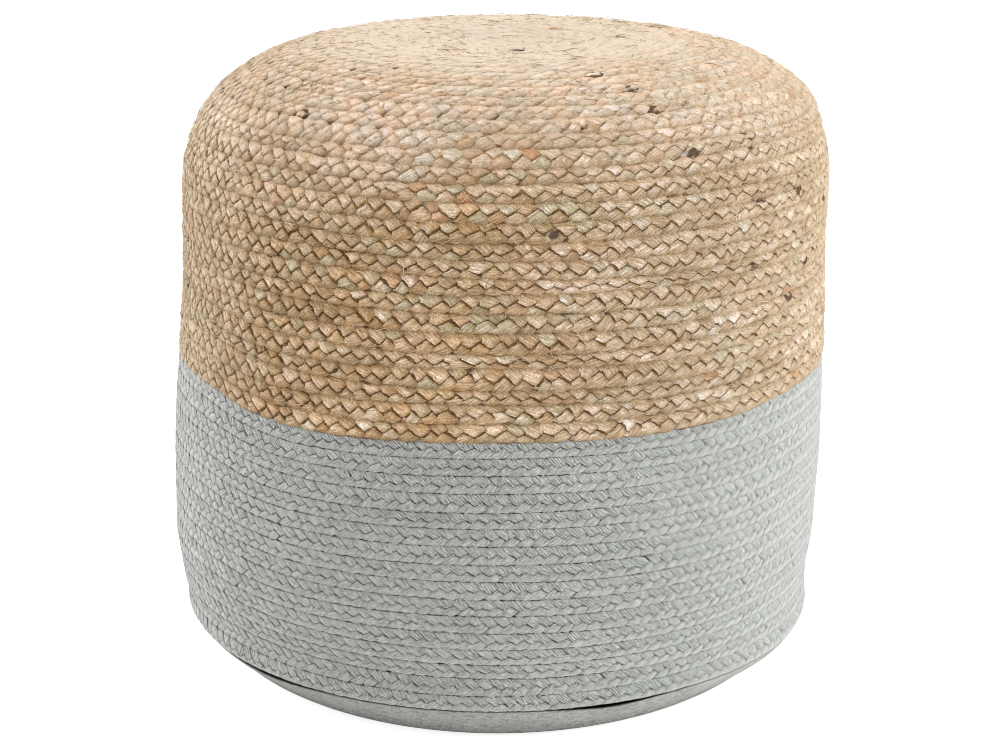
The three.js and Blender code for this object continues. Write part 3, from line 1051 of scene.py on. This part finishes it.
def base_piece(material):
    """The base cloth: flat on the floor, drawn up round it, its lip rolled in under the braid."""
    angle = np.arange(BASE_SIDES) * TURN / BASE_SIDES
    roof = SLIT_HEIGHT + LIP_ABOVE[-1]
    heights = np.concatenate([WALL_HEIGHTS, SLIT_HEIGHT + LIP_ABOVE])[:, None]
    inward = np.concatenate([0 * WALL_HEIGHTS, LIP_INWARD])[:, None]
    inward = inward + SET_BACK * np.interp(heights, SET_BACK_HEIGHTS, (0, 1))
    open_by = sum(g["drop"] * np.exp(-((apart(angle, g["at"]) / g["spread"]) ** 2)) for g in GAPES)
    sink = (open_by + LET_DOWN) * np.interp(heights, LET_DOWN_HEIGHTS, (0, 1))
    radii = wall_value(RADIUS, np.minimum(heights, SLIT_HEIGHT - 1) - sink) - inward
    floor_part = [turned(angle, np.full(BASE_SIDES, float(radius)), 0 * angle) for radius in FLOOR_RADII]
    rings = np.concatenate([np.array(floor_part), turned(angle[None], radii, heights - sink)])
    n = len(rings)
    index = np.arange(n * BASE_SIDES).reshape(n, BASE_SIDES)
    following = np.roll(index, -1, axis=1)
    quads = np.stack([index[:-1], following[:-1], following[1:], index[1:]], -1).reshape(-1, 4)
    bottom = np.stack([following[0], index[0], np.full(BASE_SIDES, index.size)], -1)
    top = np.stack([index[-1], following[-1], np.full(BASE_SIDES, index.size + 1)], -1)
    tips = np.array([[lean(np.array(height)), 0, height] for height in (0, roof)])
    points = np.concatenate([rings.reshape(-1, 3), tips])
    piece = new_piece("base_cloth", points, [quads, bottom, top], material, ["base_panel"])
    # Points behind the lip, which the felt's colour paints nearly black as shade.
    inside = np.zeros((n, BASE_SIDES))
    inside[len(FLOOR_RADII) + len(WALL_HEIGHTS) + LIP_SEEN:] = 1
    point_values(piece.data, "inside", np.append(inside, (0, 1)))
    return piece


# Lights, in metres from the pouf: place, size, power in watts and colour.
LIGHTS = dict(
    overhead=((-0.15, -0.4, 1.7), (1.2, 1.2), 12.8, (1, 1, 1)),
    right=((1.7, 0.35, 0.8), (1.6, 1.6), 25, (0.975, 1, 1)),
    left=((-2.1, 1.3, 1.0), (2.4, 2.2), 45, (1, 0.985, 0.965)),
    front=((1.6, -1.7, 1.3), (1, 1), 10, (1, 1, 1)),
)
LIGHT_TARGET = (0, 0, 0.2)
FLOOR_HALF = 1.5

# How bright the floor's glow and the surround are, to the pouf and to the camera.
FLOOR_GLOW = (0.12, 0.8)
SURROUND = (0.515, 1.1)

CAMERA_PLACE = (0.003, -1.36, 0.605)
CAMERA_DOWN = math.radians(17.4)
SENSOR, LENS = 36, 73.8


def to_camera(tree, values):
    """One value for light that falls on something, and another for what the camera sees."""
    return blend(node(tree, "LightPath").outputs["Is Camera Ray"], *values)


def studio():
    """A pale floor, soft lights and a white surround."""
    mesh = bpy.data.meshes.new("floor")
    corners = [(x * FLOOR_HALF, y * FLOOR_HALF, 0) for x, y in ((-1, -1), (1, -1), (1, 1), (-1, 1))]
    mesh.from_pydata(corners, [], [(0, 1, 2, 3)])
    material, tree, shader = new_material("floor_paint", 0.9)
    shader.inputs["Base Color"].default_value = (0.93, 0.93, 0.93, 1)
    shader.inputs["Emission Color"].default_value = (1, 1, 1, 1)
    joined(shader, Emission_Strength=to_camera(tree, FLOOR_GLOW))
    mesh.materials.append(material)
    in_scene("floor", mesh)
    for name, (place, size, power, colour) in LIGHTS.items():
        data = bpy.data.lights.new(name, "AREA")
        data.shape = "RECTANGLE"
        data.size, data.size_y = size
        data.energy = power
        data.color = colour
        light = in_scene(name, data)
        light.location = place
        light.rotation_euler = (Vector(LIGHT_TARGET) - Vector(place)).to_track_quat("-Z", "Y").to_euler()
    world = bpy.data.worlds.new("surround")
    world.use_nodes = True
    background = world.node_tree.nodes["Background"]
    background.inputs["Color"].default_value = (1, 1, 1, 1)
    joined(background, Strength=to_camera(world.node_tree, SURROUND))
    bpy.context.scene.world = world
    bpy.context.scene.view_settings.view_transform = "Standard"
    bpy.context.scene.cycles.filter_width = 1.0


def place_camera():
    """The photo's camera, as fitted to its outline, join and rows."""
    data = bpy.data.cameras.new("camera")
    data.sensor_width = SENSOR
    data.lens = LENS
    camera = in_scene("camera", data)
    camera.location = CAMERA_PLACE
    camera.rotation_euler = (math.pi / 2 - CAMERA_DOWN, 0, 0)
    bpy.context.scene.camera = camera


place_camera()
studio()
rng = np.random.default_rng(SEED)
jute = Braid(JUTE, JOIN_REACH - OVERLAP, TOP_REACH, rng)
cotton = Braid(COTTON, SLIT_REACH - OVERLAP, JOIN_REACH + OVERLAP, rng)
odd_spots = ((BARK_SPOTS, -1), (RUST_SPOTS, 1))
lay_braid("jute_braid", jute, rng, jute_material(), "jute_cover", odd_spots)
lay_braid("cotton_braid", cotton, rng, cotton_material(), "cotton_band")
lay_fibres("jute_fibres", jute, rng, fibre_material(), "jute_cover")
jute_ground = lay_ground("jute_ground", jute, jute_ground_material(), "jute_braid", "jute_cover", JOIN_HEIGHT)
heights = SLIT_HEIGHT, JOIN_HEIGHT
cotton_ground = lay_ground("cotton_ground", cotton, cotton_ground_material(), "cotton_braid", "cotton_band", *heights)
base = base_piece(base_material())
